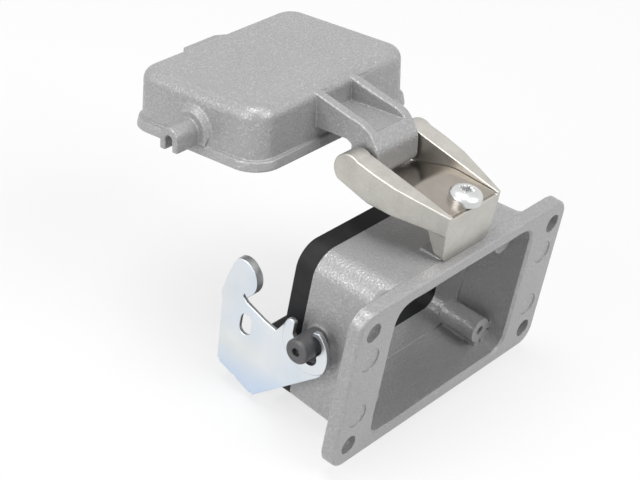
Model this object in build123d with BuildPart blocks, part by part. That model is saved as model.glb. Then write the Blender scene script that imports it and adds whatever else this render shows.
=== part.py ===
from build123d import *
import os
from math import atan2, cos, degrees, radians, sin

# Bulkhead housing of a heavy duty rectangular connector with a hinged metal cover and one
# locking lever. Millimetres. The origin is the centre of the flange's mounting face, X runs
# along the flange, the connector mates towards -Y and the cover's hinge is on the +Z side.

# Flange
flange_length = 80.0
flange_height = 43.5
flange_thickness = 4.0
flange_corner = 4.5
flange_edge = 0.8
flange_front_edge = 0.6
mount_spacing_x = 70.0
mount_spacing_z = 32.0
mount_hole = 4.8
ejector_spacing_x = 68.0
ejector_spacing_z = 16.0
ejector_mark = 6.0
ejector_mark_depth = 0.25

# Passage through the housing, and the wider opening behind its step
passage_length = 51.0
passage_height = 34.2
passage_corner = 3.6
step_depth = 15.0
rear_length = passage_length + 2.0
rear_height = passage_height + 2.4
rear_corner = 4.0
rear_end_length = passage_length + 1.0
rear_end_height = passage_height + 0.8
rear_lip = 0.6

# Housing body round the passage
side_wall = 2.6
upper_wall = 2.9
lower_wall = 3.9
body_root_length = 57.6
body_root_inset = 0.1
body_upper_corner = 6.0
body_lower_corner = 3.0
body_depth = 23.1

# Posts that the contact insert is screwed to
post_spacing_x = 44.0
post_spacing_z = 27.0
post_radius = 3.3
post_end = 4.7
post_web = 2.0
post_corner_web = 3.0
insert_core = 3.3
insert_core_depth = 8.0
post_vent = 2.4

# Mating gasket
gasket_thickness = 5.2
rebate_length = passage_length + 2.2
rebate_height = passage_height + 2.8
rebate_corner = 4.6
rebate_depth = 1.6
gasket_edge = 0.5

# Lever pegs
pivot_depth = 18.0
peg_radius = 3.1
peg_end = 36.6
peg_chamfer = 0.5
peg_spigot_radius = 2.0
peg_recess = 2.0
peg_recess_depth = 1.5
peg_boss_radius = 3.5
peg_boss_face = 28.7
inner_boss_radius = 3.3
inner_boss_height = 1.0

# Locking lever, a sheet steel bail
sheet = 1.0
lever_outer = 32.2
lever_fit = 0.1
hook_rim = 2.4
emboss_radius = 7.35
emboss_height = 0.3
mouth_low_angle = 20.0
mouth_high_angle = 72.0
bridge_width = 11.0
bridge_slope = 18.0
bridge_start_y = -24.4
bridge_start_z = -20.3
bridge_bend = 1.4
bridge_leg = 3.4
relief_length = 2.6
window_width = 3.4
window_height = 5.6
window_corner = 1.6
grip_half_length = 27.0
grip_wall = 0.9
grip_edge = 0.7

# Hinge
hinge_depth = 29.2
hinge_height = 34.2
hinge_pin_radius = 1.5
running_fit = 0.05
press_fit = 0.01
open_angle = 80.6

# Hinge bracket
bracket_back = 2.5
bracket_gap = 17.2
bracket_back_width = 19.6
bracket_nose_width = 27.8
bracket_seat = 21.75
bracket_nose_radius = 3.9
bracket_underside = 29.2
bracket_floor = 2.0
bracket_floor_front = 20.0
clamp_length = 7.2
foot_thickness = 2.2
foot_reach = 5.8
foot_width = 17.4
foot_wall = 1.3
foot_corner = 2.0
column_radius = 4.0
ear_rise_height = 1.9
ear_front_height = 3.6
pin_cover = 1.3

# Leaf spring
spring_thickness = 0.5
spring_width = 16.8
spring_seat = 33.6
spring_back = 3.1
spring_bend_radius = 10.0

# Bracket screw
screw_depth = 5.7
screw_radius = 1.95
screw_thread = 4.0
screw_clearance = 4.4
screw_length = 15.0
screw_head_radius = 4.0
screw_head_round = 1.5
screw_point = 0.4
screw_head_height = 2.8
screw_recess_width = 1.1
screw_recess_length = 4.4
screw_recess_depth = 1.6
pad_width = 15.4
pad_reach = 7.2

# Cover
cover_rim_length = 56.8
cover_rim_height = 39.4
cover_rim_corner = 6.0
cover_rise = 0.4
cover_bead = 1.25
cover_bead_height = 2.4
cover_bead_slope = 12.0
cover_depth = 14.7
cover_draft = 0.5
cover_top_edge = 3.1
cover_wall = 2.0
arm_half_width = 7.8
rib_thickness = 2.6
rib_foot_drop = 0.5
arm_underside = 5.0
web_thickness = 2.8
cam_half = 3.9
cam_corner = 2.6
cover_peg_radius = 2.7
cover_peg_depth = 5.4
cover_peg_leg = 3.1
cover_peg_slot = 2.1
cover_peg_slot_top = 0.7
peg_pad_radius = 4.5
peg_pad_slope = 40.0
peg_pad_proud = 1.1
peg_pad_leg = 3.1
lip_length = 15.7
lip_edge = 23.35
lip_drop = 2.9
lip_thickness = 2.5
lip_chamfer = 1.6
lip_wide_chamfer = (3.0, 2.0)

# Places that follow from the sizes above
body_end_length = passage_length + 2 * side_wall
body_end_top = passage_height / 2 + upper_wall
body_end_bottom = -passage_height / 2 - lower_wall
body_root_top = flange_height / 2 - body_root_inset
mating_depth = body_depth + gasket_thickness
pivot = (-pivot_depth, 0.0)
hinge = (-hinge_depth, hinge_height)
lever_inner = lever_outer - sheet
slope_cos = cos(radians(bridge_slope))
slope_sin = sin(radians(bridge_slope))
bridge_start = (pivot[0] + bridge_start_y, pivot[1] + bridge_start_z)
open_stance = Pos(0, hinge[0], hinge[1]) * Rot(-open_angle, 0, 0) * Pos(0, -hinge[0], -hinge[1])


def opened(plane):
    """Turn a plane of the closed cover about the hinge to the open stance."""
    return Plane(open_stance * plane.location)


def about_pivot(x):
    """Plane at a distance x along the pegs' axis, Y and Z counted from that axis."""
    return Plane(origin=(x, pivot[0], pivot[1]), x_dir=(0, 1, 0), z_dir=(1, 0, 0))


def body_section(depth, length, top, bottom):
    """Section of the body at a depth, with wide upper corners and tight lower ones."""
    with BuildSketch(Plane.XZ.offset(depth)) as section:
        with Locations((0, (top + bottom) / 2)):
            Rectangle(length, top - bottom)
        fillet(section.vertices().group_by(Axis.Y)[-1], body_upper_corner)
        fillet(section.vertices().group_by(Axis.Y)[0], body_lower_corner)
    return section.sketch


body_root = body_section(flange_thickness / 2, body_root_length, body_root_top, -body_root_top)
body_end = body_section(body_depth, body_end_length, body_end_top, body_end_bottom)


# Housing: flange, tapered body and the open passage through both
with BuildPart() as housing:
    with BuildSketch(Plane.XZ):
        RectangleRounded(flange_length, flange_height, flange_corner)
    extrude(amount=flange_thickness)
    plate = housing.faces().sort_by(Axis.Y)
    chamfer(plate[0].edges(), flange_front_edge)
    fillet(housing.faces().sort_by(Axis.Y)[-1].edges(), flange_edge)

    loft([body_root, body_end])

    # Flat pad under the hinge bracket
    with BuildSketch(Plane.XY.offset(bracket_seat)):
        with Locations((0, -bracket_back)):
            Rectangle(pad_width, pad_reach, align=(Align.CENTER, Align.MAX))
    extrude(amount=-(bracket_seat - body_end_top) - flange_edge)

    # Round seats of the lever pegs on the short sides
    with BuildSketch(about_pivot(rear_end_length / 2)):
        Circle(peg_boss_radius)
    extrude(amount=peg_boss_face - rear_end_length / 2)
    with BuildSketch(about_pivot(-rear_end_length / 2)):
        Circle(peg_boss_radius)
    extrude(amount=rear_end_length / 2 - peg_boss_face)

    # Drafted opening behind the step
    with BuildSketch(Plane.XZ):
        RectangleRounded(rear_length, rear_height, rear_corner)
    with BuildSketch(Plane.XZ.offset(step_depth)):
        RectangleRounded(rear_end_length, rear_end_height, rear_corner)
    loft(mode=Mode.SUBTRACT)
    chamfer(housing.faces().sort_by(Axis.Y)[-1].inner_wires().edges(), rear_lip)

    # Straight passage to the mating end, with the gasket's rebate
    with BuildSketch(Plane.XZ.offset(step_depth)):
        RectangleRounded(passage_length, passage_height, passage_corner)
    extrude(amount=body_depth - step_depth, mode=Mode.SUBTRACT)
    with BuildSketch(Plane.XZ.offset(body_depth - rebate_depth)):
        RectangleRounded(rebate_length, rebate_height, rebate_corner)
    extrude(amount=rebate_depth, mode=Mode.SUBTRACT)

    # Insert posts, each tied to both walls and to the corner by webs
    web_reach_x = (body_end_length + passage_length - 2 * post_spacing_x) / 4
    web_reach_z = (body_end_top + passage_height / 2 - post_spacing_z) / 2
    with BuildSketch(Plane.XZ.offset(post_end)):
        with Locations((post_spacing_x / 2, post_spacing_z / 2)):
            Circle(post_radius)
            Rectangle(web_reach_x, post_web, align=(Align.MIN, Align.CENTER))
            Rectangle(post_web, web_reach_z, align=(Align.CENTER, Align.MIN))
            Rectangle(web_reach_z, post_corner_web, rotation=45, align=(Align.MIN, Align.CENTER))
        mirror(about=Plane.YZ)
        mirror(about=Plane.XZ)
    extrude(amount=step_depth - post_end)
    with BuildSketch(Plane.XZ.offset(post_end)):
        with GridLocations(post_spacing_x, post_spacing_z, 2, 2):
            Circle(post_vent / 2)
    extrude(amount=step_depth - post_end, mode=Mode.SUBTRACT)
    with BuildSketch(Plane.XZ.offset(step_depth)):
        with GridLocations(post_spacing_x, post_spacing_z, 2, 2):
            Circle(insert_core / 2)
    extrude(amount=-insert_core_depth, mode=Mode.SUBTRACT)

    # Bosses inside the short walls, and the bores of the lever pegs
    with BuildSketch(about_pivot(passage_length / 2 - inner_boss_height)):
        Circle(inner_boss_radius)
    extrude(amount=inner_boss_height + (rear_end_length - passage_length) / 2)
    with BuildSketch(about_pivot(inner_boss_height - passage_length / 2)):
        Circle(inner_boss_radius)
    extrude(amount=-inner_boss_height - (rear_end_length - passage_length) / 2)
    with BuildSketch(about_pivot(0)):
        Circle(peg_spigot_radius + press_fit)
    extrude(amount=peg_boss_face, both=True, mode=Mode.SUBTRACT)

    # Mounting holes, ejector marks and the bracket screw's hole
    with BuildSketch(Plane.XZ):
        with GridLocations(mount_spacing_x, mount_spacing_z, 2, 2):
            Circle(mount_hole / 2)
    extrude(amount=flange_thickness, mode=Mode.SUBTRACT)
    with BuildSketch(Plane.XZ):
        with GridLocations(ejector_spacing_x, ejector_spacing_z, 2, 2):
            Circle(ejector_mark / 2)
    extrude(amount=ejector_mark_depth, mode=Mode.SUBTRACT)
    screw_end = spring_seat + spring_thickness - screw_length
    with BuildSketch(Plane.XY.offset(bracket_seat)):
        with Locations((0, -screw_depth)):
            Circle(screw_thread / 2)
    extrude(amount=screw_end - running_fit - bracket_seat, mode=Mode.SUBTRACT)


# Mating gasket: a profile ring with a spigot in the housing's rebate
with BuildPart() as mating_gasket:
    extrude(body_end, amount=gasket_thickness)
    fillet(mating_gasket.faces().sort_by(Axis.Y)[0].edges(), gasket_edge)
    with BuildSketch(Plane.XZ.offset(body_depth - rebate_depth)):
        RectangleRounded(rebate_length, rebate_height, rebate_corner)
    extrude(amount=rebate_depth)
    with BuildSketch(Plane.XZ.offset(body_depth - rebate_depth)):
        RectangleRounded(passage_length, passage_height, passage_corner)
    extrude(amount=rebate_depth + gasket_thickness, mode=Mode.SUBTRACT)


# Lever pegs: a spigot pressed into the wall, a shoulder and a thick end with a hex recess
def lever_peg(side):
    """Build the peg on one short side, side being 1 or -1."""
    with BuildPart() as peg:
        with BuildSketch(about_pivot(side * (passage_length / 2 - inner_boss_height))):
            Circle(peg_spigot_radius)
        extrude(amount=side * (peg_boss_face - passage_length / 2 + inner_boss_height))
        with BuildSketch(about_pivot(side * peg_boss_face)):
            Circle(peg_radius)
        extrude(amount=side * (peg_end - peg_boss_face))
        end_face = peg.faces().sort_by(Axis.X)[-1 if side > 0 else 0]
        chamfer(end_face.edges(), peg_chamfer)
        with BuildSketch(about_pivot(side * peg_end)):
            RegularPolygon(peg_recess / 2, 6, major_radius=False)
        extrude(amount=-side * peg_recess_depth, mode=Mode.SUBTRACT)
    return peg


lever_peg_right = lever_peg(1)
lever_peg_left = lever_peg(-1)


# Locking lever: two hooked arms joined by a bent bridge, all one sheet. The outline of an arm
# is drawn about its pivot, Y first and Z second.
hook_back = (-23.65, 10.5)
hook_crown = (-21.3, 11.15)
hook_shoulder = (-18.8, 10.0)
hook_nose = (-16.9, 6.7)
hook_root = (-18.05, 3.05)
slit_mouth = (-19.1, 1.8)
slit_top = (-20.0, 2.6)
slit_bottom = (-20.3, 1.7)
arm_corner = (-18.7, 0.6)
arm_top = (-13.0, -1.1)
notch_bottom = (-9.5, -1.7)
ear_bend = (-8.1, 0.6)
ear_side = (-6.9, 3.0)
ear_top = (-5.8, 4.05)
ear_end = (-4.4, 3.4)
mouth_left = -4.5
mouth_low = 0.6
mouth_right = 1.0
loop_top = (2.5, 4.75)
loop_side = (6.15, -1.2)
loop_low = (3.4, -7.7)
heel = (-4.4, -15.1)
arm_tip = (-12.8, -23.1)
back_low = (-24.6, -19.0)
back_mid = (-25.5, -8.5)
back_bend = (-26.0, -2.8)
back_bulge = (-26.65, -0.75)
back_face = (-25.9, 3.3)
back_high = (-24.5, 8.3)
window_centre = (-18.1, -5.3)
pocket_centre = (1.1, -2.6)
pocket_radius = 2.1
upper_pocket_centre = (1.6, 1.0)
upper_pocket_radius = 2.4
relief = ((-20.7, -21.5), (-18.95, -20.8), (-17.5, -22.5), (-19.5, -25.0))

bridge_plane = Plane(
    origin=(0, bridge_start[0], bridge_start[1]),
    x_dir=(1, 0, 0),
    z_dir=(0, slope_cos, -slope_sin),
)
leg_shift = (bridge_bend * slope_sin, bridge_bend * slope_cos)
bend_back = (bridge_start_y + leg_shift[0], bridge_start_z + leg_shift[1])
bend_front = (
    bend_back[0] + bridge_width * slope_cos,
    bend_back[1] - bridge_width * slope_sin,
)
lever_bore = peg_radius + lever_fit

with BuildSketch(about_pivot(lever_inner)) as arm_outline:
    with BuildLine():
        crown = ThreePointArc(hook_back, hook_crown, hook_shoulder)
        nose = ThreePointArc(crown @ 1, hook_nose, hook_root)
        top = Polyline(nose @ 1, slit_mouth, slit_top, slit_bottom, arm_corner, arm_top, notch_bottom)
        ear = ThreePointArc(top @ 1, ear_bend, ear_side)
        ear_round = ThreePointArc(ear @ 1, ear_top, ear_end)
        over = Line(ear_round @ 1, loop_top)
        loop = ThreePointArc(over @ 1, loop_side, loop_low)
        under = Polyline(loop @ 1, heel, arm_tip, bend_front, bend_back, back_low, back_mid, back_bend)
        Polyline(under @ 1, back_bulge, back_face, back_high, hook_back)
    make_face()
    # Open slot round the peg, with a pocket below it and one beside it
    with BuildLine():
        Polyline(
            (mouth_left, loop_top[1] + sheet),
            (mouth_left, mouth_low),
            (-lever_bore * cos(radians(mouth_low_angle)), -lever_bore * sin(radians(mouth_low_angle))),
            (0, 0),
            (lever_bore * cos(radians(mouth_high_angle)), lever_bore * sin(radians(mouth_high_angle))),
            (mouth_right, loop_top[1] + sheet),
            close=True,
        )
    make_face(mode=Mode.SUBTRACT)
    Circle(lever_bore, mode=Mode.SUBTRACT)
    with Locations(pocket_centre):
        Circle(pocket_radius, mode=Mode.SUBTRACT)
    with Locations(upper_pocket_centre):
        Circle(upper_pocket_radius, mode=Mode.SUBTRACT)
    with Locations(window_centre):
        RectangleRounded(window_width, window_height, window_corner, mode=Mode.SUBTRACT)

with BuildPart() as locking_lever:
    extrude(arm_outline.sketch, amount=sheet)

    # Rim turned inwards along the hook
    with BuildSketch(about_pivot(lever_outer - hook_rim)):
        with BuildLine():
            rim_crown = ThreePointArc(hook_back, hook_crown, hook_shoulder)
            ThreePointArc(rim_crown @ 1, hook_nose, hook_root)
            offset(amount=sheet, side=Side.RIGHT)
        make_face()
    extrude(amount=hook_rim)

    # Raised round field about the pivot
    with BuildSketch(about_pivot(lever_outer)):
        Circle(emboss_radius)
        add(arm_outline.sketch_local, mode=Mode.INTERSECT)
    extrude(amount=emboss_height)
    mirror(about=Plane.YZ)

    # Bridge and its bends
    with BuildSketch(bridge_plane):
        with BuildLine():
            FilletPolyline(
                (-lever_outer, -bridge_leg),
                (-lever_outer, 0),
                (lever_outer, 0),
                (lever_outer, -bridge_leg),
                radius=bridge_bend,
            )
            offset(amount=sheet, side=Side.RIGHT)
        make_face()
    extrude(amount=bridge_width)

    # Relief notch through each bend
    for side in (1, -1):
        with BuildSketch(about_pivot(side * (lever_outer - relief_length))):
            with BuildLine():
                Polyline(*relief, close=True)
            make_face()
        extrude(amount=side * relief_length, mode=Mode.SUBTRACT)


# Moulded grip that clips round the bridge
grip_plane = Plane(
    origin=(0, bridge_start[0], bridge_start[1]),
    x_dir=(0, slope_cos, -slope_sin),
    z_dir=(1, 0, 0),
)
with BuildPart() as lever_grip:
    with BuildSketch(grip_plane):
        with Locations((bridge_width / 2, sheet / 2)):
            RectangleRounded(bridge_width + 2 * grip_wall, sheet + 2 * grip_wall, grip_edge)
            Rectangle(bridge_width + 2 * press_fit, sheet + 2 * press_fit, mode=Mode.SUBTRACT)
    extrude(amount=grip_half_length, both=True)


# Hinge bracket: two flared ears, a floor between them, a clamp seat and a foot
ear_back = (-bracket_back, hinge_height)
ear_rise = (-15.0, hinge_height + ear_rise_height)
ear_front = (-27.0, hinge_height + ear_front_height)
ear_chin = (-31.4, 31.0)
ear_keel = (-23.5, bracket_underside + 0.2)
flare_front = (13.4, -16.0)
flare_full = -22.0

with BuildPart() as hinge_bracket:
    with BuildSketch(Plane.YZ):
        with BuildLine():
            crest = Spline(ear_back, ear_rise, ear_front)
            nose = ThreePointArc(crest @ 1, (hinge[0] - bracket_nose_radius, hinge[1]), ear_chin)
            Polyline(
                nose @ 1,
                ear_keel,
                (flare_full, bracket_underside),
                (-bracket_back, bracket_underside),
                ear_back,
            )
        make_face()
    extrude(amount=bracket_nose_width / 2, both=True)
    nose_end = hinge[0] - bracket_nose_radius
    with BuildSketch(Plane.XY.offset(bracket_underside)):
        with BuildLine():
            Polyline(
                (bracket_back_width / 2, -bracket_back),
                flare_front,
                (bracket_nose_width / 2, flare_full),
                (bracket_nose_width / 2, nose_end),
                (0, nose_end),
                (0, -bracket_back),
                (bracket_back_width / 2, -bracket_back),
            )
        make_face()
        mirror(about=Plane.YZ)
    extrude(amount=hinge_height, mode=Mode.INTERSECT)

    # Gap between the ears, above the floor and above the spring's clamp seat
    clamp_front = -bracket_back - clamp_length
    with BuildSketch(Plane.YZ):
        with BuildLine():
            Polyline(
                (0, spring_seat),
                (clamp_front, spring_seat),
                (clamp_front, bracket_underside + bracket_floor),
                (-bracket_floor_front, bracket_underside + bracket_floor),
                (-bracket_floor_front, 0),
                (-2 * hinge_depth, 0),
                (-2 * hinge_depth, 2 * hinge_height),
                (0, 2 * hinge_height),
                close=True,
            )
        make_face()
    extrude(amount=bracket_gap / 2, both=True, mode=Mode.SUBTRACT)

    # Foot: back wall, slanting cheeks and the column round the screw
    with BuildSketch(Plane.XZ.offset(bracket_back)):
        with BuildLine():
            Polyline(
                (-bracket_back_width / 2, bracket_underside),
                (bracket_back_width / 2, bracket_underside),
                (foot_width / 2, bracket_seat),
                (-foot_width / 2, bracket_seat),
                close=True,
            )
        make_face()
        fillet(vertices().group_by(Axis.Y)[0], foot_corner)
    extrude(amount=foot_reach)
    with BuildSketch(Plane.XZ.offset(bracket_back + foot_thickness)):
        with Locations((0, bracket_seat)):
            Rectangle(
                foot_width - 2 * foot_wall,
                bracket_underside - bracket_seat,
                align=(Align.CENTER, Align.MIN),
            )
    extrude(amount=foot_reach, mode=Mode.SUBTRACT)
    with BuildSketch(Plane.YZ):
        with BuildLine():
            Polyline(
                (-bracket_back - foot_thickness, bracket_seat),
                (-bracket_back - foot_reach, bracket_underside),
                (-screw_depth - column_radius, bracket_underside),
                (-screw_depth - column_radius, bracket_seat),
                close=True,
            )
        make_face()
    extrude(amount=bracket_back_width, both=True, mode=Mode.SUBTRACT)
    with BuildSketch(Plane.XY.offset(bracket_seat)):
        with Locations((0, -screw_depth)):
            Circle(column_radius)
    extrude(amount=spring_seat - bracket_seat)
    with BuildSketch(Plane.XY.offset(bracket_seat)):
        with Locations((0, -screw_depth)):
            Circle(screw_clearance / 2)
    extrude(amount=spring_seat - bracket_seat, mode=Mode.SUBTRACT)
    with BuildSketch(Plane.XZ):
        with Locations((0, bracket_seat)):
            Rectangle(bracket_nose_width, hinge_height, align=(Align.CENTER, Align.MIN))
    extrude(amount=bracket_back, mode=Mode.SUBTRACT)

    # Pin bore, closed at the +X end
    with BuildSketch(Plane.YZ.offset(-bracket_nose_width / 2)):
        with Locations(hinge):
            Circle(hinge_pin_radius + press_fit)
    extrude(amount=bracket_nose_width - pin_cover, mode=Mode.SUBTRACT)


# Leaf spring that bears on the hinge block
spring_bend = (-15.5, spring_seat)
spring_knee = (hinge[0] + 2.2, hinge[1] - 4.8)
spring_tip = (hinge[0] - 2.0, hinge[1] - 5.7)
with BuildPart() as leaf_spring:
    with BuildSketch(Plane.YZ):
        with BuildLine():
            FilletPolyline(
                (-spring_back, spring_seat),
                spring_bend,
                spring_knee,
                spring_tip,
                radius=spring_bend_radius,
            )
            offset(amount=spring_thickness, side=Side.RIGHT)
        make_face()
    extrude(amount=spring_width / 2, both=True)
    with BuildSketch(Plane.XY.offset(spring_seat)):
        with Locations((0, -screw_depth)):
            Circle(screw_clearance / 2)
    extrude(amount=spring_thickness, mode=Mode.SUBTRACT)


# Pan head screw that holds the spring and the bracket
head_seat = spring_seat + spring_thickness
with BuildPart() as bracket_screw:
    with BuildSketch(Plane.XY.offset(head_seat - screw_length)):
        with Locations((0, -screw_depth)):
            Circle(screw_radius)
    extrude(amount=screw_length)
    chamfer(bracket_screw.faces().sort_by(Axis.Z)[0].edges(), screw_point)
    with BuildSketch(Plane.XY.offset(head_seat)):
        with Locations((0, -screw_depth)):
            Circle(screw_head_radius)
    extrude(amount=screw_head_height)
    fillet(bracket_screw.faces().sort_by(Axis.Z)[-1].edges(), screw_head_round)
    with BuildSketch(Plane.XY.offset(head_seat + screw_head_height)):
        with Locations((0, -screw_depth)):
            Rectangle(screw_recess_length, screw_recess_width)
            Rectangle(screw_recess_width, screw_recess_length)
    extrude(amount=-screw_recess_depth, mode=Mode.SUBTRACT)


# Hinge pin, flush with the -X ear
with BuildPart() as hinge_pin:
    with BuildSketch(Plane.YZ.offset(-bracket_nose_width / 2)):
        with Locations(hinge):
            Circle(hinge_pin_radius)
    extrude(amount=bracket_nose_width - pin_cover)


# Cover, drawn as it lies on the gasket and turned open about the hinge
cover_top = mating_depth + cover_depth
outward = Axis((0, 0, 0), opened(Plane.XZ).z_dir)
cover_back = cover_rise + cover_rim_height / 2 - cover_draft
trough_floor = mating_depth + arm_underside + web_thickness
rib_foot = (rib_foot_drop - cover_top, cover_back - cover_top_edge)
rib_knee = (hinge[0] - 9.9, hinge[1] - 5.2)
rib_crest = (hinge[0] - 9.2, hinge[1] - 2.0)
rib_shoulder = (hinge[0] - 7.6, hinge[1] + 1.0)
rib_neck = (hinge[0] - 4.9, hinge[1] + 2.9)
block_rear = (hinge[0] - 1.6, hinge[1] + cam_half)
under_front = (-(mating_depth + arm_underside), cover_back)
under_back = (-(mating_depth + arm_underside), hinge[1] - 5.4)
under_nose = (hinge[0] - 3.3, hinge[1] - cam_half)
trough_back = (-trough_floor, hinge[1] + 1.2)

with BuildSketch(opened(Plane.YZ)) as arm_side:
    with BuildLine():
        ridge = Spline(
            rib_knee,
            rib_crest,
            rib_shoulder,
            rib_neck,
            block_rear,
            tangents=((rib_knee[0] - rib_foot[0], rib_knee[1] - rib_foot[1]), (1, 0)),
        )
        Polyline(
            ridge @ 1,
            (hinge[0] + cam_half, hinge[1] + cam_half),
            (hinge[0] + cam_half, hinge[1] - cam_half),
            under_nose,
            under_back,
            under_front,
            rib_foot,
            rib_knee,
        )
    make_face()
    fillet(arm_side.vertices().group_by(Axis.X)[-1], cam_corner)

with BuildPart() as cover:
    # Shell
    with BuildSketch(opened(Plane.XZ.offset(mating_depth))):
        with Locations((0, cover_rise)):
            RectangleRounded(cover_rim_length, cover_rim_height, cover_rim_corner)
    extrude(amount=cover_depth, taper=degrees(atan2(cover_draft, cover_depth)))
    fillet(cover.faces().sort_by(outward)[-1].edges(), cover_top_edge)

    # Hinge arm: two deep ribs, a web between them and the square hinge block
    with BuildSketch(opened(Plane.YZ.offset(arm_half_width - rib_thickness))):
        add(arm_side.sketch_local)
    extrude(amount=rib_thickness)
    mirror(about=Plane.YZ)
    with BuildSketch(opened(Plane.YZ)):
        add(arm_side.sketch_local)
        with BuildLine():
            Polyline(
                (-trough_floor, rib_foot[1]),
                trough_back,
                (-cover_top, trough_back[1]),
                (-cover_top, rib_foot[1]),
                close=True,
            )
        make_face(mode=Mode.SUBTRACT)
    extrude(amount=arm_half_width - rib_thickness, both=True)

    # Sloping bead round the rim
    with BuildSketch(opened(Plane.XZ.offset(mating_depth))):
        with Locations((0, cover_rise)):
            RectangleRounded(
                cover_rim_length + 2 * cover_bead,
                cover_rim_height + 2 * cover_bead,
                cover_rim_corner + cover_bead,
            )
    extrude(amount=cover_bead_height, taper=cover_bead_slope)

    # Arched pads and grooved pegs that the lever hooks hold
    pad_face = cover_rim_length / 2 + peg_pad_proud
    peg_centre = mating_depth + cover_peg_depth
    for side in (1, -1):
        inward = Plane(
            origin=(side * pad_face, -peg_centre, cover_rise),
            x_dir=(0, 1, 0),
            z_dir=(-side, 0, 0),
        )
        with BuildSketch(opened(inward)):
            Circle(peg_pad_radius)
            Rectangle(peg_pad_leg, 2 * peg_pad_radius, align=(Align.MIN, Align.CENTER))
            with Locations((peg_pad_leg, 0)):
                Rectangle(
                    peg_pad_radius,
                    2 * peg_pad_radius,
                    align=(Align.MIN, Align.CENTER),
                    mode=Mode.SUBTRACT,
                )
        extrude(amount=peg_pad_proud + cover_draft + cover_wall / 2, taper=-peg_pad_slope)
        with BuildSketch(opened(inward.offset(pad_face - peg_end))):
            Circle(cover_peg_radius)
            Rectangle(cover_peg_leg, 2 * cover_peg_radius, align=(Align.MIN, Align.CENTER))
            with Locations((cover_peg_slot / 2 - cover_peg_slot_top, 0)):
                Circle(cover_peg_slot / 2, mode=Mode.SUBTRACT)
                Rectangle(
                    cover_peg_leg,
                    cover_peg_slot,
                    align=(Align.MIN, Align.CENTER),
                    mode=Mode.SUBTRACT,
                )
        extrude(amount=peg_end - pad_face + peg_pad_proud)

    # Finger lip on the free long side, with unequal chamfers
    lip_root = cover_rise - cover_rim_height / 2 + cover_draft + cover_wall / 2
    lip_end = lip_length / 2
    with BuildSketch(opened(Plane.XZ.offset(cover_top - lip_drop))):
        with BuildLine():
            Polyline(
                (-lip_end, lip_root),
                (-lip_end, lip_wide_chamfer[1] - lip_edge),
                (lip_wide_chamfer[0] - lip_end, -lip_edge),
                (lip_end - lip_chamfer, -lip_edge),
                (lip_end, lip_chamfer - lip_edge),
                (lip_end, lip_root),
                close=True,
            )
        make_face()
    extrude(amount=-lip_thickness)

    # Hollow inside
    with BuildSketch(opened(Plane.XZ.offset(mating_depth))):
        with Locations((0, cover_rise)):
            RectangleRounded(
                cover_rim_length - 2 * cover_wall,
                cover_rim_height - 2 * cover_wall,
                cover_rim_corner - cover_wall,
            )
    extrude(
        amount=cover_depth - cover_wall,
        taper=degrees(atan2(cover_draft, cover_depth)),
        mode=Mode.SUBTRACT,
    )

    # Bore that turns on the hinge pin
    with BuildSketch(Plane.YZ):
        with Locations(hinge):
            Circle(hinge_pin_radius + running_fit)
    extrude(amount=arm_half_width, both=True, mode=Mode.SUBTRACT)


housing.part.label = "housing"
mating_gasket.part.label = "mating_gasket"
lever_peg_right.part.label = "lever_peg_right"
lever_peg_left.part.label = "lever_peg_left"
locking_lever.part.label = "locking_lever"
lever_grip.part.label = "lever_grip"
hinge_bracket.part.label = "hinge_bracket"
leaf_spring.part.label = "leaf_spring"
bracket_screw.part.label = "bracket_screw"
hinge_pin.part.label = "hinge_pin"
cover.part.label = "cover"

os.makedirs("parts", exist_ok=True)
export_step(housing.part, "parts/housing.step")
export_step(mating_gasket.part, "parts/mating_gasket.step")
export_step(lever_peg_right.part, "parts/lever_peg_right.step")
export_step(lever_peg_left.part, "parts/lever_peg_left.step")
export_step(locking_lever.part, "parts/locking_lever.step")
export_step(lever_grip.part, "parts/lever_grip.step")
export_step(hinge_bracket.part, "parts/hinge_bracket.step")
export_step(leaf_spring.part, "parts/leaf_spring.step")
export_step(bracket_screw.part, "parts/bracket_screw.step")
export_step(hinge_pin.part, "parts/hinge_pin.step")
export_step(cover.part, "parts/cover.step")
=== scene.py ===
"""Studio scene of a bulkhead connector housing with a hinged cover and a locking lever."""

import logging
import math
from dataclasses import dataclass, field
from enum import Enum
from typing import Any, Optional, Union

import bmesh
import bpy
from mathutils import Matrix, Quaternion, Vector


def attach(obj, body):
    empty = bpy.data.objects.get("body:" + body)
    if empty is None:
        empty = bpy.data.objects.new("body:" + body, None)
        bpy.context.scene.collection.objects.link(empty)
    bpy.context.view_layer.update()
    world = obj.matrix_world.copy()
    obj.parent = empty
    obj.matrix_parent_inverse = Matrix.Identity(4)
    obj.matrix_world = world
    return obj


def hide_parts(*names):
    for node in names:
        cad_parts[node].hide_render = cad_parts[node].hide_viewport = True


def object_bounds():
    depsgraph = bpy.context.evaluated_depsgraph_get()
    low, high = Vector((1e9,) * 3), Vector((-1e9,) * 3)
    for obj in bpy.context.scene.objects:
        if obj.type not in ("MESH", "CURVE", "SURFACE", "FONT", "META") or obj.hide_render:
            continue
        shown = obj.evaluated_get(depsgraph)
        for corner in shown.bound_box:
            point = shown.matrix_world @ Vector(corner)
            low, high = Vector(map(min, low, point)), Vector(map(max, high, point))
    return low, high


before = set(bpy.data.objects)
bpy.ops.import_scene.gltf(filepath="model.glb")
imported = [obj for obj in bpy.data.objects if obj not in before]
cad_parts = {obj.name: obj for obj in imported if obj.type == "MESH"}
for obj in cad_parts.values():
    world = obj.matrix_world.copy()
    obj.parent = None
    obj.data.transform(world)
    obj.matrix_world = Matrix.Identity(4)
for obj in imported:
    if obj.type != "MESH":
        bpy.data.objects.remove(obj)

LOG = logging.getLogger("connector")
MM = 0.001
CAD_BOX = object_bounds()

# Face attribute that tells a material where the sheet was punched
CUT_MARK = "cut"

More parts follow.
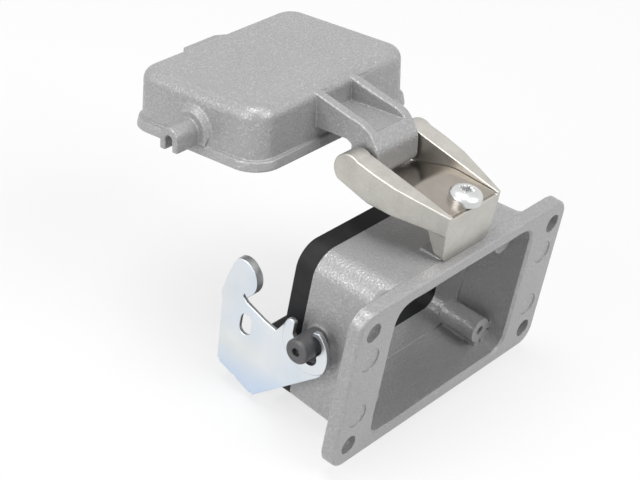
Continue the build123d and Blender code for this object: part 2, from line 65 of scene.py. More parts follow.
# Sockets of a Mix node that blends colours: factor, first and second colour, and the result
MIX_INPUTS = (0, 6, 7)
MIX_RESULT = 2

Value = Union["Signal", float, tuple]


def opaque(red: float, green: float, blue: float) -> tuple:
    """A colour with full alpha."""
    return (red, green, blue, 1.0)


WHITE = opaque(1.0, 1.0, 1.0)


class Slot(Enum):
    """The record's material slots, one for each finish on the object."""

    CAST_PAINT = "cast_paint"
    GASKET_RUBBER = "gasket_rubber"
    PEG_METAL = "peg_metal"
    ZINC_SHEET = "zinc_sheet"
    GRIP_PLASTIC = "grip_plastic"
    NICKEL_CASTING = "nickel_casting"
    SPRING_STEEL = "spring_steel"
    ZINC_SCREW = "zinc_screw"
    PIN_STEEL = "pin_steel"


# ---------------------------------------------------------------- shader graphs


class Signal:
    """One shader socket that takes part in Python arithmetic."""

    def __init__(self, graph: "Graph", socket: Optional[bpy.types.NodeSocket]) -> None:
        """Wrap a socket.

        Args:
            graph: The graph that the socket's node belongs to.
            socket: The output socket, or None for a node without outputs.
        """
        self.graph = graph
        self.socket = socket

    def _math(self, operation: str, first: Value, second: Value) -> "Signal":
        """Add a Math node.

        Args:
            operation: The node's operation.
            first: Its first value.
            second: Its second value.

        Returns:
            The node's result.
        """
        return self.graph.node("ShaderNodeMath", {"operation": operation}, {0: first, 1: second})

    def __add__(self, other: Value) -> "Signal":
        """Sum of two signals."""
        return self._math("ADD", self, other)

    __radd__ = __add__

    def __rsub__(self, other: Value) -> "Signal":
        """Difference, with the number first."""
        return self._math("SUBTRACT", other, self)

    def __mul__(self, other: Value) -> "Signal":
        """Product of two signals."""
        return self._math("MULTIPLY", self, other)

    def ramp(self, low: float, high: float) -> "Signal":
        """Spread the signal from low..high to 0..1, clamped.

        Args:
            low: Where the result is 0.
            high: Where the result is 1.

        Returns:
            The spread signal.
        """
        return self.graph.node("ShaderNodeMapRange", {"clamp": True}, {0: self, 1: low, 2: high})

    def clamped(self) -> "Signal":
        """The signal, kept between 0 and 1."""
        return self.ramp(0.0, 1.0)

    def weighed(self, share: float, other: "Signal") -> "Signal":
        """Add this signal and another one by weight.

        Args:
            share: Weight of this signal.
            other: The other signal, which gets the rest.

        Returns:
            The weighted sum.
        """
        return self * share + other * (1.0 - share)


@dataclass(frozen=True)
class Noise:
    """How one layer of noise on the object's own coordinates looks.

    Attributes:
        size_mm: Size of its largest lumps.
        detail: Number of finer layers.
        roughness: Strength of the finer layers.
        stretch: Scale of each axis, where a small one draws the noise out into streaks.
    """

    size_mm: float
    detail: float = 2.0
    roughness: float = 0.5
    stretch: Optional[tuple] = None


@dataclass(frozen=True)
class Relief:
    """How a height is turned into a surface normal, over edges that are slightly worn.

    Attributes:
        depth_mm: What a height of 1 measures.
        strength: Share of the effect that is used.
        edge_mm: Radius of the worn edges.
        samples: Rays that look for an edge.
    """

    depth_mm: float
    strength: float
    edge_mm: float
    samples: int = 6


class Graph:
    """The node graph of one material or world."""

    def __init__(self, tree: bpy.types.NodeTree) -> None:
        """Take over a node tree and empty it.

        Args:
            tree: The tree to fill.
        """
        self.tree = tree
        tree.nodes.clear()

    def node(
        self,
        kind: str,
        settings: Optional[dict[str, Any]] = None,
        sockets: Optional[dict[Any, Value]] = None,
        output: Any = 0,
    ) -> Signal:
        """Add a node, set it up and connect it.

        Args:
            kind: The node's type.
            settings: Its attributes.
            sockets: Values or signals of its inputs, by name or index.
            output: The output to return, by name or index.

        Returns:
            The chosen output as a signal.
        """
        made = self.tree.nodes.new(kind)
        for key, value in (settings or {}).items():
            setattr(made, key, value)
        for key, value in (sockets or {}).items():
            if isinstance(value, Signal):
                self.tree.links.new(value.socket, made.inputs[key])
            else:
                made.inputs[key].default_value = value
        return Signal(self, made.outputs[output] if len(made.outputs) else None)

    def coordinates(self) -> Signal:
        """Object coordinates, in metres."""
        return self.node("ShaderNodeTexCoord", output="Object")

    def noise(self, layer: Noise) -> Signal:
        """Draw a layer of noise.

        Args:
            layer: Its look.

        Returns:
            The noise's factor.
        """
        place = self.coordinates()
        if layer.stretch:
            place = self.node(
                "ShaderNodeMapping", sockets={"Vector": place, "Scale": layer.stretch}
            )
        return self.node(
            "ShaderNodeTexNoise",
            sockets={
                "Vector": place,
                "Scale": 1.0 / (layer.size_mm * MM),
                "Detail": layer.detail,
                "Roughness": layer.roughness,
            },
        )

    def mix(self, factor: Value, first: Value, second: Value) -> Signal:
        """Blend two colours.

        Args:
            factor: Share of the second.
            first: First colour.
            second: Second colour.

        Returns:
            The blended colour.
        """
        sockets = dict(zip(MIX_INPUTS, (factor, first, second)))
        return self.node("ShaderNodeMix", {"data_type": "RGBA"}, sockets, MIX_RESULT)

    def bump(self, height: Signal, relief: Relief) -> Signal:
        """Turn a height into a surface normal.

        Args:
            height: The height, 0 to 1.
            relief: Depth, strength and worn edges.

        Returns:
            The bumped normal.
        """
        worn = self.node(
            "ShaderNodeBevel", {"samples": relief.samples}, {"Radius": relief.edge_mm * MM}
        )
        return self.node(
            "ShaderNodeBump",
            sockets={
                "Height": height,
                "Distance": relief.depth_mm * MM,
                "Strength": relief.strength,
                "Normal": worn,
            },
        )


# --------------------------------------------------------------------- finishes


@dataclass(frozen=True)
class Finish:
    """A finish that every material of the object is made from."""

    slot: Slot
    metallic: float = 0.0
    specular: float = 0.5

    def surface(self, graph: Graph) -> dict[str, Value]:
        """Sockets of the shader that vary over the surface.

        Args:
            graph: The material's graph.

        Returns:
            Socket names and their signals.
        """
        raise NotImplementedError

    def material(self) -> bpy.types.Material:
        """Build the material.

        Returns:
            The finished material.
        """
        made = bpy.data.materials.new(self.slot.value)
        made.use_nodes = True
        graph = Graph(made.node_tree)
        sockets: dict[Any, Value] = {
            "Metallic": self.metallic,
            "Specular IOR Level": self.specular,
        }
        sockets.update(self.surface(graph))
        shader = graph.node("ShaderNodeBsdfPrincipled", sockets=sockets)
        graph.node("ShaderNodeOutputMaterial", sockets={"Surface": shader})
        return made


@dataclass(frozen=True)
class CastPaint(Finish):
    """Grainy light grey powder coat with fine bright flakes."""

    slot: Slot = Slot.CAST_PAINT
    metallic: float = 0.3
    dark: tuple = opaque(0.34, 0.338, 0.343)
    light: tuple = opaque(0.40, 0.397, 0.402)
    flake: tuple = opaque(0.72, 0.72, 0.73)
    grain: Noise = Noise(size_mm=0.62, detail=1.5)
    flakes: Noise = Noise(size_mm=0.47, detail=0.0)
    clouds: Noise = Noise(size_mm=16.0)
    contrast: tuple = (0.3, 0.7)
    flake_limits: tuple = (0.58, 0.72)
    grain_share: float = 0.7
    flake_share: float = 0.32
    roughness: float = 0.41
    flake_gloss: float = 0.16
    relief: Relief = Relief(depth_mm=0.17, strength=0.9, edge_mm=0.3)

    def surface(self, graph: Graph) -> dict[str, Value]:
        """Grain, slow clouds and flakes.

        Args:
            graph: The material's graph.

        Returns:
            Socket names and their signals.
        """
        grain = graph.noise(self.grain)
        fine = graph.noise(self.flakes)
        clouds = graph.noise(self.clouds)
        flakes = fine.ramp(*self.flake_limits)
        tone = grain.ramp(*self.contrast).weighed(self.grain_share, clouds.ramp(*self.contrast))
        body = graph.mix(tone, self.dark, self.light)
        return {
            "Base Color": graph.mix(flakes * self.flake_share, body, self.flake),
            "Roughness": self.roughness - flakes * self.flake_gloss,
            "Normal": graph.bump(grain.weighed(self.grain_share, fine), self.relief),
        }


@dataclass(frozen=True)
class Rubber(Finish):
    """Matt black moulded rubber with a dusting of grey."""

    slot: Slot = Slot.GASKET_RUBBER
    specular: float = 0.3
    body: tuple = opaque(0.008, 0.008, 0.009)
    dust: tuple = opaque(0.022, 0.022, 0.024)
    skin: Noise = Noise(size_mm=0.5, detail=3.0, roughness=0.6)
    patches: Noise = Noise(size_mm=6.0, detail=3.0, roughness=0.6)
    dust_limits: tuple = (0.4, 0.7)
    dust_share: float = 0.7
    roughness: float = 0.5
    patch_roughness: float = 0.18
    relief: Relief = Relief(depth_mm=0.03, strength=0.3, edge_mm=0.25)

    def surface(self, graph: Graph) -> dict[str, Value]:
        """Faint dust and skin.

        Args:
            graph: The material's graph.

        Returns:
            Socket names and their signals.
        """
        skin = graph.noise(self.skin)
        patches = graph.noise(self.patches)
        dust = patches.ramp(*self.dust_limits) * self.dust_share
        return {
            "Base Color": graph.mix(dust, self.body, self.dust),
            "Roughness": self.roughness + patches * self.patch_roughness,
            "Normal": graph.bump(skin, self.relief),
        }


@dataclass(frozen=True)
class Moulded(Rubber):
    """Black moulded plastic with a fine spark texture."""

    slot: Slot = Slot.GRIP_PLASTIC
    specular: float = 0.45
    body: tuple = opaque(0.014, 0.014, 0.015)
    dust: tuple = opaque(0.024, 0.024, 0.026)


@dataclass(frozen=True)
class SheetMetal(Finish):
    """Plated metal: slow changes of tone, a cast of colour and a faint rolled grain."""

    metallic: float = 1.0
    dull: tuple = opaque(0.70, 0.74, 0.76)
    bright: tuple = opaque(0.79, 0.81, 0.81)
    tint: tuple = opaque(0.64, 0.74, 0.86)
    punched: tuple = opaque(0.30, 0.30, 0.29)
    streaks: Noise = Noise(size_mm=0.3, stretch=(1.0, 0.15, 1.0))
    clouds: Noise = Noise(size_mm=9.0)
    passivation: Noise = Noise(size_mm=14.0, detail=1.0)
    contrast: tuple = (0.3, 0.7)
    gloss_limits: tuple = (0.35, 0.75)
    tint_limits: tuple = (0.42, 0.68)
    tint_share: float = 0.6
    low_share: float = 0.0
    low_limits_mm: tuple = (-20.0, -13.5)
    punched_share: float = 0.7
    roughness: float = 0.3
    streak_roughness: float = 0.04
    cloud_roughness: float = 0.05
    punched_roughness: float = 0.08
    relief: Relief = Relief(depth_mm=0.004, strength=0.3, edge_mm=0.2)

    def _tinted(self, graph: Graph) -> Signal:
        """Share of the tint: in patches, and all over the lowest part.

        Args:
            graph: The material's graph.

        Returns:
            The share, 0 to 1.
        """
        height = graph.node(
            "ShaderNodeSeparateXYZ", sockets={"Vector": graph.coordinates()}, output="Z"
        )
        low = 1.0 - height.ramp(*(limit * MM for limit in self.low_limits_mm))
        patches = graph.noise(self.passivation).ramp(*self.tint_limits) * self.tint_share
        return (patches + low * self.low_share).clamped()

    def surface(self, graph: Graph) -> dict[str, Value]:
        """Faint streaks along the rolling direction, cloudy plating and darker punched edges.

        Args:
            graph: The material's graph.

        Returns:
            Socket names and their signals.
        """
        cut = graph.node("ShaderNodeAttribute", {"attribute_name": CUT_MARK}, output="Fac")
        streaks = graph.noise(self.streaks)
        clouds = graph.noise(self.clouds)
        body = graph.mix(clouds.ramp(*self.contrast), self.dull, self.bright)
        plated = graph.mix(self._tinted(graph), body, self.tint)
        return {
            "Base Color": graph.mix(cut * self.punched_share, plated, self.punched),
            "Roughness": self.roughness
            + streaks * self.streak_roughness
            + clouds.ramp(*self.gloss_limits) * self.cloud_roughness
            + cut * self.punched_roughness,
            "Normal": graph.bump(streaks, self.relief),
        }


@dataclass(frozen=True)
class Casting(Finish):
    """Plated casting with a soft, slightly rough skin."""

    slot: Slot = Slot.NICKEL_CASTING
    metallic: float = 1.0
    dull: tuple = opaque(0.45, 0.435, 0.40)
    bright: tuple = opaque(0.60, 0.585, 0.545)
    grain: Noise = Noise(size_mm=0.5, detail=3.0, roughness=0.55)
    patches: Noise = Noise(size_mm=5.0, detail=3.0, roughness=0.6)
    contrast: tuple = (0.3, 0.7)
    patch_share: float = 0.6
    roughness: float = 0.34
    patch_roughness: float = 0.1
    relief: Relief = Relief(depth_mm=0.03, strength=0.3, edge_mm=0.35)

    def surface(self, graph: Graph) -> dict[str, Value]:
        """Cast grain and tumbled patches.

        Args:
            graph: The material's graph.

        Returns:
            Socket names and their signals.
        """
        grain = graph.noise(self.grain)
        patches = graph.noise(self.patches)
        tone = patches.ramp(*self.contrast).weighed(self.patch_share, grain.ramp(*self.contrast))
        return {
            "Base Color": graph.mix(tone, self.dull, self.bright),
            "Roughness": self.roughness + patches * self.patch_roughness,
            "Normal": graph.bump(grain, self.relief),
        }


def zinc_sheet() -> SheetMetal:
    """Blue-white zinc on the lever's sheet, bluer near its lower edge."""
    return SheetMetal(
        slot=Slot.ZINC_SHEET,
        tint=opaque(0.60, 0.70, 0.85),
        tint_share=0.35,
        low_share=0.85,
    )


def spring_strip() -> SheetMetal:
    """Polished spring strip with a warm tone."""
    return SheetMetal(
        slot=Slot.SPRING_STEEL,
        dull=opaque(0.33, 0.30, 0.265),
        bright=opaque(0.43, 0.395, 0.35),
        tint=opaque(0.36, 0.31, 0.27),
        roughness=0.2,
    )


def screw_zinc() -> SheetMetal:
    """Bright zinc on the screw."""
    return SheetMetal(
        slot=Slot.ZINC_SCREW,
        dull=opaque(0.58, 0.59, 0.59),
        bright=opaque(0.80, 0.80, 0.79),
        tint=opaque(0.52, 0.54, 0.55),
        roughness=0.25,
        relief=Relief(depth_mm=0.004, strength=0.3, edge_mm=0.05),
    )


def pin_steel() -> SheetMetal:
    """Ground steel of the hinge pin."""
    return SheetMetal(
        slot=Slot.PIN_STEEL,
        dull=opaque(0.40, 0.40, 0.40),
        bright=opaque(0.55, 0.55, 0.55),
        tint=opaque(0.47, 0.46, 0.45),
    )


def peg_metal() -> Casting:
    """Dark, dull metal of the lever pegs."""
    return Casting(
        slot=Slot.PEG_METAL,
        metallic=0.5,
        dull=opaque(0.085, 0.085, 0.088),
        bright=opaque(0.16, 0.16, 0.165),
        grain=Noise(size_mm=0.3, detail=3.0, roughness=0.55),
        roughness=0.42,
    )


class Workshop:
    """Holds one material for each slot and dresses pieces with them."""

    def __init__(self) -> None:
        """Make every finish of the object."""
        finishes = (
            CastPaint(),
            Rubber(),
            Moulded(),
            Casting(),
            peg_metal(),
            zinc_sheet(),
            spring_strip(),
            screw_zinc(),
            pin_steel(),
        )
        self.materials = {finish.slot: finish.material() for finish in finishes}

    def dress(self, piece: bpy.types.Object, slot: Slot) -> None:
        """Give a piece its material.

        Args:
            piece: A CAD node's object or a new piece.
            slot: The slot whose finish it gets.
        """
        piece.data.materials.clear()
        piece.data.materials.append(self.materials[slot])


# ------------------------------------------------------------------- new pieces


def add_piece(
    name: str,
    shape: bmesh.types.BMesh,
    body: str,
    sharp: float = 40.0,
) -> bpy.types.Object:
    """Turn a shape drawn in millimetres into a smooth piece that rides on a body.

    Args:
        name: The piece's name.
        shape: The shape, freed afterwards.
        body: The body that it rides on.
        sharp: Angle in degrees from which an edge stays sharp.

    Returns:
        The new piece.
    """
    bmesh.ops.scale(shape, vec=(MM,) * 3, verts=shape.verts)
    mesh = bpy.data.meshes.new(name)
    shape.to_mesh(mesh)
    shape.free()
    mesh.shade_smooth()
    mesh.set_sharp_from_angle(angle=math.radians(sharp))
    piece = bpy.data.objects.new(name, mesh)
    bpy.context.scene.collection.objects.link(piece)
    weights = piece.modifiers.new("weights", "WEIGHTED_NORMAL")
    weights.keep_sharp = True
    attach(piece, body)
    return piece


class Maker:
    """Makes the piece that is shown in place of a CAD node."""

    def build(self, node: str, body: str, slot: Slot) -> bpy.types.Object:
        """Make the piece and let it stand for the node.

        Args:
            node: The node's name.
            body: The body that it rides on.
            slot: The material slot of its finish.

        Returns:
            The new piece.
        """
        raise NotImplementedError


@dataclass(frozen=True)
class EdgeBreak(Maker):
    """Rounds a node's sharp edges on a merged copy of it.

    Attributes:
        width_mm: Width of the rounding.
        segments: Number of faces across it.
        least_angle: Angle in degrees from which an edge is sharp.
        merge_mm: Distance at which points of the node's mesh become one.
        flat_angle: Angle in degrees under which faces are merged.
        cut_area: Area under which a face along X counts as punched, in square millimetres.
        cut_slope: Part of a face's normal along X under which the face runs along X.
        spare_low: Lower corner of a box in which edges stay sharp, in millimetres.
        spare_high: Upper corner of that box.
    """

    width_mm: float
    segments: int = 3
    least_angle: float = 32.0
    merge_mm: float = 0.003
    flat_angle: float = 0.5
    cut_area: float = 0.0
    cut_slope: float = 0.3
    spare_low: tuple = (0.0, 0.0, 0.0)
    spare_high: tuple = (0.0, 0.0, 0.0)

    def _is_sharp(self, edge: bmesh.types.BMEdge) -> bool:
        """Whether an edge is to be rounded.

        Args:
            edge: The edge.

        Returns:
            True for a sharp edge outside the spared box.
        """
        if not edge.is_manifold or edge.calc_face_angle() < math.radians(self.least_angle):
            return False
        middle = (edge.verts[0].co + edge.verts[1].co) / 2
        box = zip(self.spare_low, middle, self.spare_high)
        return not all(low < value < high for low, value, high in box)

    def _mark_cuts(self, shape: bmesh.types.BMesh) -> None:
        """Mark the small faces that run along X, where the sheet was punched.

        Args:
            shape: The merged copy, in millimetres.
        """
        layer = shape.faces.layers.float.new(CUT_MARK)
        for face in shape.faces:
            if abs(face.normal.x) < self.cut_slope and face.calc_area() < self.cut_area:
                face[layer] = 1.0

    def build(self, node: str, body: str, slot: Slot) -> bpy.types.Object:
        """Make a merged copy of a node with round edges, and let it stand for the node.

        Args:
            node: The node's name.
            body: The body that it rides on.
            slot: The material slot of its finish; not used.

        Returns:
            The new piece.
        """
        shape = bmesh.new()
        shape.from_mesh(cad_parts[node].data)
        bmesh.ops.scale(shape, vec=(1.0 / MM,) * 3, verts=shape.verts)
        bmesh.ops.remove_doubles(shape, verts=shape.verts, dist=self.merge_mm)
        bmesh.ops.dissolve_limit(
            shape,
            angle_limit=math.radians(self.flat_angle),
            verts=shape.verts,
            edges=shape.edges,
        )
        bmesh.ops.recalc_face_normals(shape, faces=shape.faces)
        self._mark_cuts(shape)
        bmesh.ops.bevel(
            shape,
            geom=[edge for edge in shape.edges if self._is_sharp(edge)],
            offset=self.width_mm,
            offset_type="OFFSET",
            segments=self.segments,
            profile=0.5,
            affect="EDGES",
            clamp_overlap=False,
            material=-1,
        )
        piece = add_piece(f"{node}_soft", shape, body)
        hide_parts(node)
        return piece


@dataclass(frozen=True)
class PanScrew(Maker):
    """Pan head screw with a lobed recess, drawn round Z with its seat at zero, in millimetres.

    The recess is a round hole of recess_radius with lobes that reach recess_lobe further and
    a wall that slopes over recess_wall. Between the lobes it has short points, valley_share
    as long as they are. The powers make the lobes blunt and the points narrow.
    """

    axis_y: float = -5.7
    head_radius: float = 4.0
    head_height: float = 2.8
    head_side: float = 1.0
    dome_power: float = 2.2
    shank_radius: float = 1.95
    shank_length: float = 15.0
    point: float = 0.4
    recess_radius: float = 1.2
    recess_lobe: float = 0.7
    recess_depth: float = 1.5
    recess_wall: float = 0.35
    recess_turn: float = 22.0
    lobes: int = 4
    lobe_power: float = 1.5
    valley_share: float = 0.3
    valley_power: float = 3.0
    rings: int = 22
    steps: int = 96
    merge_mm: float = 0.001
    sharp_angle: float = 55.0

    def _dome(self, radius: float) -> float:
        """Height of the dome at a radius."""
        share = max(0.0, 1.0 - (radius / self.head_radius) ** self.dome_power)
        return self.head_side + (self.head_height - self.head_side) * math.sqrt(share)

    def _profile(self) -> list[tuple[float, float]]:
        """Half outline from the top of the dome to the point.

        Returns:
            Radius and height of each point.
        """
        reach = self.recess_radius + self.recess_lobe + self.recess_wall
        rest = self.head_radius - reach
        shares = [index / self.rings for index in range(self.rings + 1)]
        radii = [reach * share for share in shares]
        radii += [reach + rest * math.sin(math.pi / 2 * share) for share in shares[1:]]
        return [(radius, self._dome(radius)) for radius in radii] + [
            (self.head_radius, 0.0),
            (self.shank_radius, 0.0),
            (self.shank_radius, self.point - self.shank_length),
            (self.shank_radius - self.point, -self.shank_length),
            (0.0, -self.shank_length),
        ]

    def _sink(self, place: Vector) -> float:
        """Depth of the recess under a point of the dome.

        Args:
            place: The point.

        Returns:
            The depth.
        """
        turn = math.atan2(place.y, place.x) - math.radians(self.recess_turn)
        wave = math.cos(self.lobes * turn)
        lobe = max(0.0, wave) ** self.lobe_power
        lobe += self.valley_share * max(0.0, -wave) ** self.valley_power
        edge = self.recess_radius + self.recess_lobe * lobe
        share = min(1.0, max(0.0, (edge - place.to_2d().length) / self.recess_wall))
        return self.recess_depth * share * share * (3.0 - 2.0 * share)

    def build(self, node: str, body: str, slot: Slot) -> bpy.types.Object:
        """Spin the outline, press the recess in and set the screw in its place.

        Args:
            node: The CAD node that the screw stands for.
            body: The body that it rides on.
            slot: The material slot of its finish; not used.

        Returns:
            The new piece.
        """
        shape = bmesh.new()
        outline = [shape.verts.new((radius, 0.0, height)) for radius, height in self._profile()]
        edges = [shape.edges.new(pair) for pair in zip(outline, outline[1:])]
        bmesh.ops.spin(
            shape,
            geom=outline + edges,
            axis=(0.0, 0.0, 1.0),
            cent=(0.0, 0.0, 0.0),
            angle=2.0 * math.pi,
            steps=self.steps,
            use_merge=True,
        )
        bmesh.ops.remove_doubles(shape, verts=shape.verts, dist=self.merge_mm)
        bmesh.ops.recalc_face_normals(shape, faces=shape.faces)
        for vert in shape.verts:
            if vert.co.z > self.head_side:
                vert.co.z -= self._sink(vert.co)
        top = max(vert.co.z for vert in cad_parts[node].data.vertices) / MM
        place = (0.0, self.axis_y, top - self.head_height)
        bmesh.ops.translate(shape, vec=place, verts=shape.verts)
        piece = add_piece(f"{node}_pan", shape, body, self.sharp_angle)
        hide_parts(node)
        return piece


@dataclass(frozen=True)
class RootBlend:
    """Hollow fillet between the housing's body and its flange, in millimetres.

    Its radius shrinks where the flange has less room, down to least. It is then up to
    drawn_out times as long as it is wide. The tapers are the slopes of the body's walls.
    """

    half_length: float = 28.7
    top: float = 21.45
    bottom: float = -21.55
    upper_corner: float = 6.0
    lower_corner: float = 3.0
    corner_angle: float = 80.0
    face_y: float = -4.0
    face_half_height: float = 21.0
    radius: float = 3.0
    drawn_out: float = 3.0
    side_taper: float = 0.033
    upper_taper: float = 0.078
    lower_taper: float = 0.031
    level_slope: float = 0.01
    least: float = 0.03
    bury: float = 0.35
    steps: int = 10
    arc_points: int = 14

    def _outline(self) -> list[tuple[Vector, Vector]]:
        """Points of the body's side outline at +X, from top to bottom.

        Returns:
            Place and outward direction of each point, in X and Z.
        """
        points = []
        corners = (
            (self.upper_corner, self.top - self.upper_corner, self.corner_angle, 0.0),
            (self.lower_corner, self.bottom + self.lower_corner, 0.0, -self.corner_angle),
        )
        for radius, centre_z, first, last in corners:
            centre = Vector((self.half_length - radius, centre_z))
            for index in range(self.arc_points + 1):
                turn = math.radians(first + (last - first) * index / self.arc_points)
                outward = Vector((math.cos(turn), math.sin(turn)))
                points.append((centre + outward * radius, outward))
        return points

    def _reach(self, place: Vector, outward: Vector) -> float:
        """Radius of the fillet that fits on the flange's face at a point.

        Args:
            place: The point, in X and Z.
            outward: Its outward direction.

        Returns:
            The radius.
        """
        if abs(outward.y) < self.level_slope:
            return self.radius
        room = (self.face_half_height - abs(place.y)) / abs(outward.y)
        return min(self.radius, max(self.least, room))

    def _section(self, place: Vector, outward: Vector) -> list[tuple[float, float]]:
        """Section of the fillet at a point, closed inside the housing.

        Args:
            place: The point, in X and Z.
            outward: Its outward direction.

        Returns:
            Distances outwards and along Y from the body's edge at the flange.
        """
        radius = self._reach(place, outward)
        length = min(self.radius, self.drawn_out * radius)
        end_taper = self.lower_taper if place.y < 0 else self.upper_taper
        taper = self.side_taper * outward.x + end_taper * abs(outward.y)
        points = [(-self.bury, -length)]
        for index in range(self.steps + 1):
            turn = math.pi / 2 * index / self.steps
            along = length * math.sin(turn) - length
            points.append((radius - radius * math.cos(turn) + taper * along, along))
        return points + [(radius, self.bury), (-self.bury, self.bury)]

    def build(self, workshop: Workshop, side: int) -> bpy.types.Object:
        """Sweep the fillet's section along one short side of the body.

        Args:
            workshop: Where its material comes from.
            side: 1 for +X and -1 for -X.

        Returns:
            The new piece.
        """
        shape = bmesh.new()
        rings = []
        for place, outward in self._outline():
            rings.append([
                shape.verts.new((
                    side * (place.x + outward.x * across),
                    self.face_y + along,
                    place.y + outward.y * across,
                ))
                for across, along in self._section(place, outward)
            ])
        loops = [
            [shape.edges.new((ring[index - 1], ring[index])) for index in range(len(ring))]
            for ring in rings
        ]
        for first, second in zip(loops, loops[1:]):
            bmesh.ops.bridge_loops(shape, edges=first + second)
        for ring in (rings[0], rings[-1]):
            bmesh.ops.contextual_create(shape, geom=ring)
        bmesh.ops.recalc_face_normals(shape, faces=shape.faces)
        name = "flange_blend_right" if side > 0 else "flange_blend_left"
        piece = add_piece(name, shape, "root")
        workshop.dress(piece, Slot.CAST_PAINT)
        LOG.info("%s made", piece.name)
        return piece


# --------------------------------------------------------------- sub-assemblies


@dataclass
class SubAssembly:
    """A group of CAD nodes that are dressed and reported together."""

    workshop: Workshop
    body: str = "root"
    slots: dict[str, Slot] = field(default_factory=dict)
    makers: dict[str, Maker] = field(default_factory=dict)

    def build(self) -> None:
        """Make the pieces that stand for nodes, dress all and report them."""
        for name, slot in self.slots.items():
            if name in self.makers:
                piece = self.makers[name].build(name, self.body, slot)
            else:
                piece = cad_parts[name]
            self.workshop.dress(piece, slot)
            LOG.info("%s dressed as %s", piece.name, slot.value)


@dataclass
class BulkheadHousing(SubAssembly):
    """The housing with its gasket and the lever's pegs."""

    slots: dict[str, Slot] = field(
        default_factory=lambda: {
            "housing": Slot.CAST_PAINT,
            "mating_gasket": Slot.GASKET_RUBBER,
            "lever_peg_right": Slot.PEG_METAL,
            "lever_peg_left": Slot.PEG_METAL,
        }
    )
    makers: dict[str, Maker] = field(
        default_factory=lambda: {
            "lever_peg_right": EdgeBreak(width_mm=0.2),
            "lever_peg_left": EdgeBreak(width_mm=0.2),
        }
    )

    def build(self) -> None:
        """Dress the nodes and add the blends at the flange."""
        super().build()
        for side in (1, -1):
            RootBlend().build(self.workshop, side)


@dataclass
class CoverHinge(SubAssembly):
    """The bracket, its spring, screw and pin."""

    slots: dict[str, Slot] = field(
        default_factory=lambda: {
            "hinge_bracket": Slot.NICKEL_CASTING,
            "leaf_spring": Slot.SPRING_STEEL,
            "bracket_screw": Slot.ZINC_SCREW,
            "hinge_pin": Slot.PIN_STEEL,
        }
    )
    makers: dict[str, Maker] = field(
        default_factory=lambda: {
            "hinge_bracket": EdgeBreak(width_mm=0.24),
            "bracket_screw": PanScrew(),
        }
    )


@dataclass
class HingedCover(SubAssembly):
    """The cover, one casting. The feet of its ribs keep their edges."""

    body: str = "cover"
    slots: dict[str, Slot] = field(default_factory=lambda: {"cover": Slot.CAST_PAINT})
    makers: dict[str, Maker] = field(
        default_factory=lambda: {
            "cover": EdgeBreak(
                width_mm=0.35,
                spare_low=(-9.0, -52.0, 40.0),
                spare_high=(9.0, -45.8, 46.0),
            )
        }
    )


@dataclass
class LockingLever(SubAssembly):
    """The sheet metal lever and its moulded grip."""

    body: str = "lever"
    slots: dict[str, Slot] = field(
        default_factory=lambda: {
            "locking_lever": Slot.ZINC_SHEET,
            "lever_grip": Slot.GRIP_PLASTIC,
        }
    )
    makers: dict[str, Maker] = field(
        default_factory=lambda: {
            "locking_lever": EdgeBreak(width_mm=0.2, cut_area=6.0),
            "lever_grip": EdgeBreak(width_mm=0.3),
        }
    )


# ----------------------------------------------------------------------- studio


@dataclass(frozen=True)
class Lamp:
    """Soft square lamp that faces the object, in metres and watts."""

    name: str
    place: tuple
    size: float
    power: float

    def hang(self) -> None:
        """Add the lamp to the scene."""
        data = bpy.data.lights.new(self.name, "AREA")
        data.size = self.size
        data.energy = self.power
        made = bpy.data.objects.new(self.name, data)
        made.location = self.place
        made.rotation_mode = "QUATERNION"
        made.rotation_quaternion = (-Vector(self.place)).to_track_quat("-Z", "Y")
        bpy.context.scene.collection.objects.link(made)


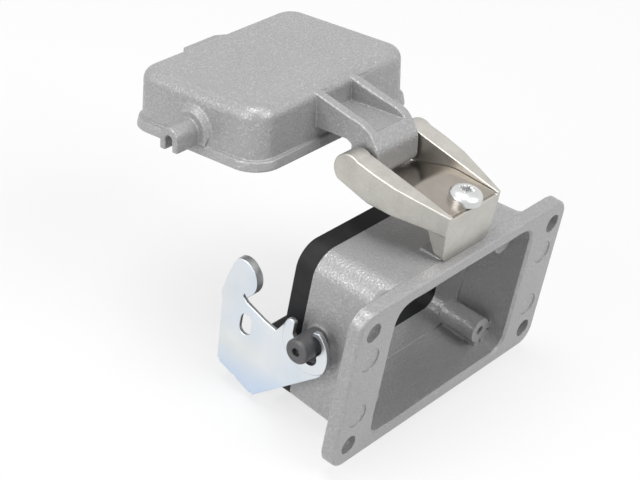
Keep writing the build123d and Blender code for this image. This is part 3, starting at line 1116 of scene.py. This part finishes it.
@dataclass
class Studio:
    """Camera, floor, lamps and background."""

    camera_place_mm: tuple = (316.6, 168.4, 257.1)
    heading: float = -146.416
    pitch: float = -33.881
    roll: float = 11.483
    focal_px: float = 1881.9
    image_width: float = 640.0
    sensor_mm: float = 36.0
    clip_start: float = 0.01
    floor_half: float = 1.2
    floor_gap_mm: float = 0.2
    floor_colour: tuple = opaque(0.93, 0.93, 0.93)
    floor_roughness: float = 0.9
    floor_specular: float = 0.1
    floor_glow: float = 0.72
    ambient: float = 0.22
    lamps: tuple = (
        Lamp("top_light", place=(0.1, -0.2, 0.9), size=0.55, power=4.1),
        Lamp("front_light", place=(-0.15, 0.6, 0.7), size=0.6, power=4.3),
        Lamp("side_light", place=(0.8, -0.3, 0.4), size=0.55, power=3.4),
    )

    def camera(self) -> None:
        """Place the camera at the photograph's viewing angle."""
        data = bpy.data.cameras.new("camera")
        data.sensor_width = self.sensor_mm
        data.lens = self.focal_px / self.image_width * self.sensor_mm
        data.clip_start = self.clip_start
        made = bpy.data.objects.new("camera", data)
        bpy.context.scene.collection.objects.link(made)
        heading = math.radians(self.heading)
        pitch = math.radians(self.pitch)
        view = Vector((
            math.cos(pitch) * math.cos(heading),
            math.cos(pitch) * math.sin(heading),
            math.sin(pitch),
        ))
        turn = view.to_track_quat("-Z", "Y") @ Quaternion((0, 0, 1), math.radians(self.roll))
        made.rotation_mode = "QUATERNION"
        made.rotation_quaternion = turn
        made.location = Vector(self.camera_place_mm) * MM
        bpy.context.scene.camera = made

    def floor(self) -> None:
        """Lay a pale floor just under the object."""
        low = CAD_BOX[0][2] - self.floor_gap_mm * MM
        bpy.ops.mesh.primitive_plane_add(size=2 * self.floor_half, location=(0, 0, low))
        made = bpy.context.object
        made.name = "floor"
        material = bpy.data.materials.new("floor")
        material.use_nodes = True
        graph = Graph(material.node_tree)
        shader = graph.node(
            "ShaderNodeBsdfPrincipled",
            sockets={
                "Base Color": self.floor_colour,
                "Roughness": self.floor_roughness,
                "Specular IOR Level": self.floor_specular,
            },
        )
        glow = graph.node("ShaderNodeEmission", sockets={"Color": WHITE, "Strength": 1.0})
        share = self._plain_rays(graph) * self.floor_glow
        blend = graph.node("ShaderNodeMixShader", sockets={0: share, 1: shader, 2: glow})
        graph.node("ShaderNodeOutputMaterial", sockets={"Surface": blend})
        made.data.materials.append(material)

    @staticmethod
    def _plain_rays(graph: Graph) -> Signal:
        """One for rays that show the background itself, in mirrors and glass too.

        Args:
            graph: The graph to add to.

        Returns:
            One for camera, glossy and transmission rays, else zero.
        """
        camera, glossy, transmission = (
            graph.node("ShaderNodeLightPath", output=f"Is {kind} Ray")
            for kind in ("Camera", "Glossy", "Transmission")
        )
        return (camera + glossy + transmission).clamped()

    def world(self) -> None:
        """White to the camera and to mirrors, plain soft light elsewhere."""
        made = bpy.data.worlds.new("studio")
        made.use_nodes = True
        graph = Graph(made.node_tree)
        strength = self._plain_rays(graph) * (1.0 - self.ambient) + self.ambient
        light = graph.node(
            "ShaderNodeBackground", sockets={"Color": WHITE, "Strength": strength}
        )
        graph.node("ShaderNodeOutputWorld", sockets={"Surface": light})
        bpy.context.scene.world = made

    def build(self) -> None:
        """Set up the whole studio."""
        self.camera()
        self.floor()
        self.world()
        for lamp in self.lamps:
            lamp.hang()
        bpy.context.scene.view_settings.view_transform = "Standard"
        LOG.info("studio ready")


def main() -> None:
    """Build the sub-assemblies and the studio, in order."""
    logging.basicConfig(level=logging.INFO, format="%(name)s: %(message)s")
    workshop = Workshop()
    for group in (
        BulkheadHousing(workshop),
        CoverHinge(workshop),
        HingedCover(workshop),
        LockingLever(workshop),
    ):
        group.build()
    Studio().build()


if __name__ == "__main__":
    main()
